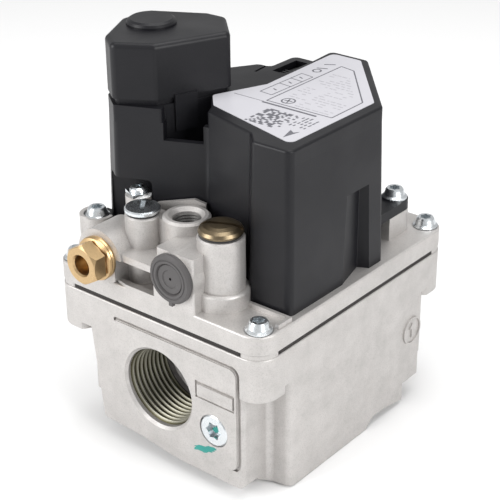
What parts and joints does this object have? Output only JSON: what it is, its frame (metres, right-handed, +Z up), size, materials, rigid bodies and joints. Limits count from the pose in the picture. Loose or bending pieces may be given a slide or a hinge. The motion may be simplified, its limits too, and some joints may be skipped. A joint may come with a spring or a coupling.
{
  "type": "gas control valve",
  "caption": "Two-stage solenoid gas valve for a furnace: die-cast body with threaded ports, screw-capped regulators and a moulded cover with a taller tower.",
  "frame": {"origin": "on the base plane, under the middle of the flange's rectangle", "axes": "+Z up out of the base towards the covers, +Y from the inlet face to the outlet face, +X to the right seen from the inlet side"},
  "size_m": [0.0828, 0.1043, 0.1266],
  "materials": {
    "casting": "satin die-cast, fine grain",
    "cover": "satin moulded charcoal",
    "label": "semi-gloss printed foil",
    "gasket": "matt",
    "zinc": "bright zinc plate",
    "cap_zinc": "bright zinc plate",
    "brass": "turned, slightly dulled",
    "vent": "satin moulded grey",
    "seal": "matt",
    "diaphragm": "matt",
    "adjuster": "natural moulded",
    "spring": "bright wire",
    "pressing": "pressed",
    "iron": "turned",
    "bobbin": "moulded",
    "winding": "enamelled copper wire",
    "yoke": "zinc-plated strip",
    "disc": "matt",
    "board": "laminate with green mask",
    "switch": "moulded",
    "slider": "moulded",
    "connector": "moulded",
    "terminal": "tinned",
    "screen": "woven or pressed"
  },
  "bodies": {
    "body": {"lower_body": "casting", "upper_body": "casting", "body_gasket": "gasket", "body_screws": "zinc", "main_cover": "cover", "tower_cap": "cover", "label": "label", "cover_screws": "zinc", "inlet_tap_plug": "zinc", "outlet_tap_plug": "zinc", "inlet_screen": "screen", "brass_fitting": "brass", "vent_plug": "vent", "ground_washer": "zinc", "ground_screw": "zinc", "low_spring": "spring", "low_diaphragm": "diaphragm", "high_spring": "spring", "high_diaphragm": "diaphragm", "first_core": "iron", "first_bobbin": "bobbin", "first_winding": "winding", "first_yoke": "yoke", "first_valve_spring": "spring", "second_core": "iron", "second_bobbin": "bobbin", "second_winding": "winding", "second_yoke": "yoke", "second_valve_spring": "spring", "stage_core": "iron", "stage_bobbin": "bobbin", "stage_winding": "winding", "stage_yoke": "yoke", "stage_valve_spring": "spring", "circuit_board": "board", "switch_body": "switch", "connector_shell": "connector", "terminal_blades": "terminal"},
    "low_cap_seal_body": {"low_cap_seal": "seal"},
    "low_cap_body": {"low_cap": "cap_zinc"},
    "low_spring_seat_body": {"low_spring_seat": "pressing"},
    "low_adjuster_body": {"low_adjuster": "adjuster"},
    "low_diaphragm_plate_body": {"low_diaphragm_plate": "pressing"},
    "high_cap_seal_body": {"high_cap_seal": "seal"},
    "high_cap_body": {"high_cap": "brass"},
    "high_spring_seat_body": {"high_spring_seat": "pressing"},
    "high_adjuster_body": {"high_adjuster": "adjuster"},
    "high_diaphragm_plate_body": {"high_diaphragm_plate": "pressing"},
    "first_armature_body": {"first_plunger": "iron", "first_valve_disc": "disc"},
    "second_armature_body": {"second_plunger": "iron", "second_valve_disc": "disc"},
    "stage_armature_body": {"stage_plunger": "iron", "stage_valve_disc": "disc"},
    "switch_slider_body": {"switch_slider": "slider"}
  },
  "joints": [
    {"name": "low_cap_lift", "type": "slide", "parent": "body", "child": "low_cap_seal_body", "axis": [0, 0, 1], "range_m": [0, 0.00425]},
    {"name": "low_cap_turn", "type": "hinge", "parent": "low_cap_seal_body", "child": "low_cap_body", "pos_m": [-0.01195, -0.03745, 0.0783], "axis": [0, 0, 1], "range_deg": [0, 1532]},
    {"name": "low_adjust", "type": "slide", "parent": "body", "child": "low_spring_seat_body", "axis": [0, 0, 1], "range_m": [-0.002, 0.001], "deforming": ["low_spring"]},
    {"name": "low_adjuster_turn", "type": "hinge", "parent": "low_spring_seat_body", "child": "low_adjuster_body", "pos_m": [-0.01195, -0.03745, 0.0701], "axis": [0, 0, 1], "range_deg": [-902, 452]},
    {"name": "low_diaphragm_lift", "type": "slide", "parent": "body", "child": "low_diaphragm_plate_body", "axis": [0, 0, 1], "range_m": [-0.0005, 0.0005], "stiffness_N_per_m": 200, "deforming": ["low_diaphragm"]},
    {"name": "high_cap_lift", "type": "slide", "parent": "body", "child": "high_cap_seal_body", "axis": [0, 0, 1], "range_m": [0, 0.00425]},
    {"name": "high_cap_turn", "type": "hinge", "parent": "high_cap_seal_body", "child": "high_cap_body", "pos_m": [0.01725, -0.03625, 0.0783], "axis": [0, 0, 1], "range_deg": [0, 1532]},
    {"name": "high_adjust", "type": "slide", "parent": "body", "child": "high_spring_seat_body", "axis": [0, 0, 1], "range_m": [-0.002, 0.001], "deforming": ["high_spring"]},
    {"name": "high_adjuster_turn", "type": "hinge", "parent": "high_spring_seat_body", "child": "high_adjuster_body", "pos_m": [0.01725, -0.03625, 0.0701], "axis": [0, 0, 1], "range_deg": [-902, 452]},
    {"name": "high_diaphragm_lift", "type": "slide", "parent": "body", "child": "high_diaphragm_plate_body", "axis": [0, 0, 1], "range_m": [-0.0005, 0.0005], "stiffness_N_per_m": 200, "deforming": ["high_diaphragm"]},
    {"name": "first_valve_lift", "type": "slide", "parent": "body", "child": "first_armature_body", "axis": [0, 0, 1], "range_m": [0, 0.003], "stiffness_N_per_m": 300, "springref_m": -0.004, "deforming": ["first_valve_spring"]},
    {"name": "second_valve_lift", "type": "slide", "parent": "body", "child": "second_armature_body", "axis": [0, 0, 1], "range_m": [0, 0.003], "stiffness_N_per_m": 300, "springref_m": -0.004, "deforming": ["second_valve_spring"]},
    {"name": "stage_valve_lift", "type": "slide", "parent": "body", "child": "stage_armature_body", "axis": [0, 0, 1], "range_m": [0, 0.0015], "stiffness_N_per_m": 300, "springref_m": -0.004, "deforming": ["stage_valve_spring"]},
    {"name": "switch_slide", "type": "slide", "parent": "body", "child": "switch_slider_body", "axis": [0, 1, 0], "range_m": [0, 0.004]}
  ],
  "couplings": [
    {"joint": "low_cap_turn", "follows": "low_cap_lift", "rad_per_m": 6283.2},
    {"joint": "low_adjuster_turn", "follows": "low_adjust", "rad_per_m": 7854},
    {"joint": "high_cap_turn", "follows": "high_cap_lift", "rad_per_m": 6283.2},
    {"joint": "high_adjuster_turn", "follows": "high_adjust", "rad_per_m": 7854}
  ]
}
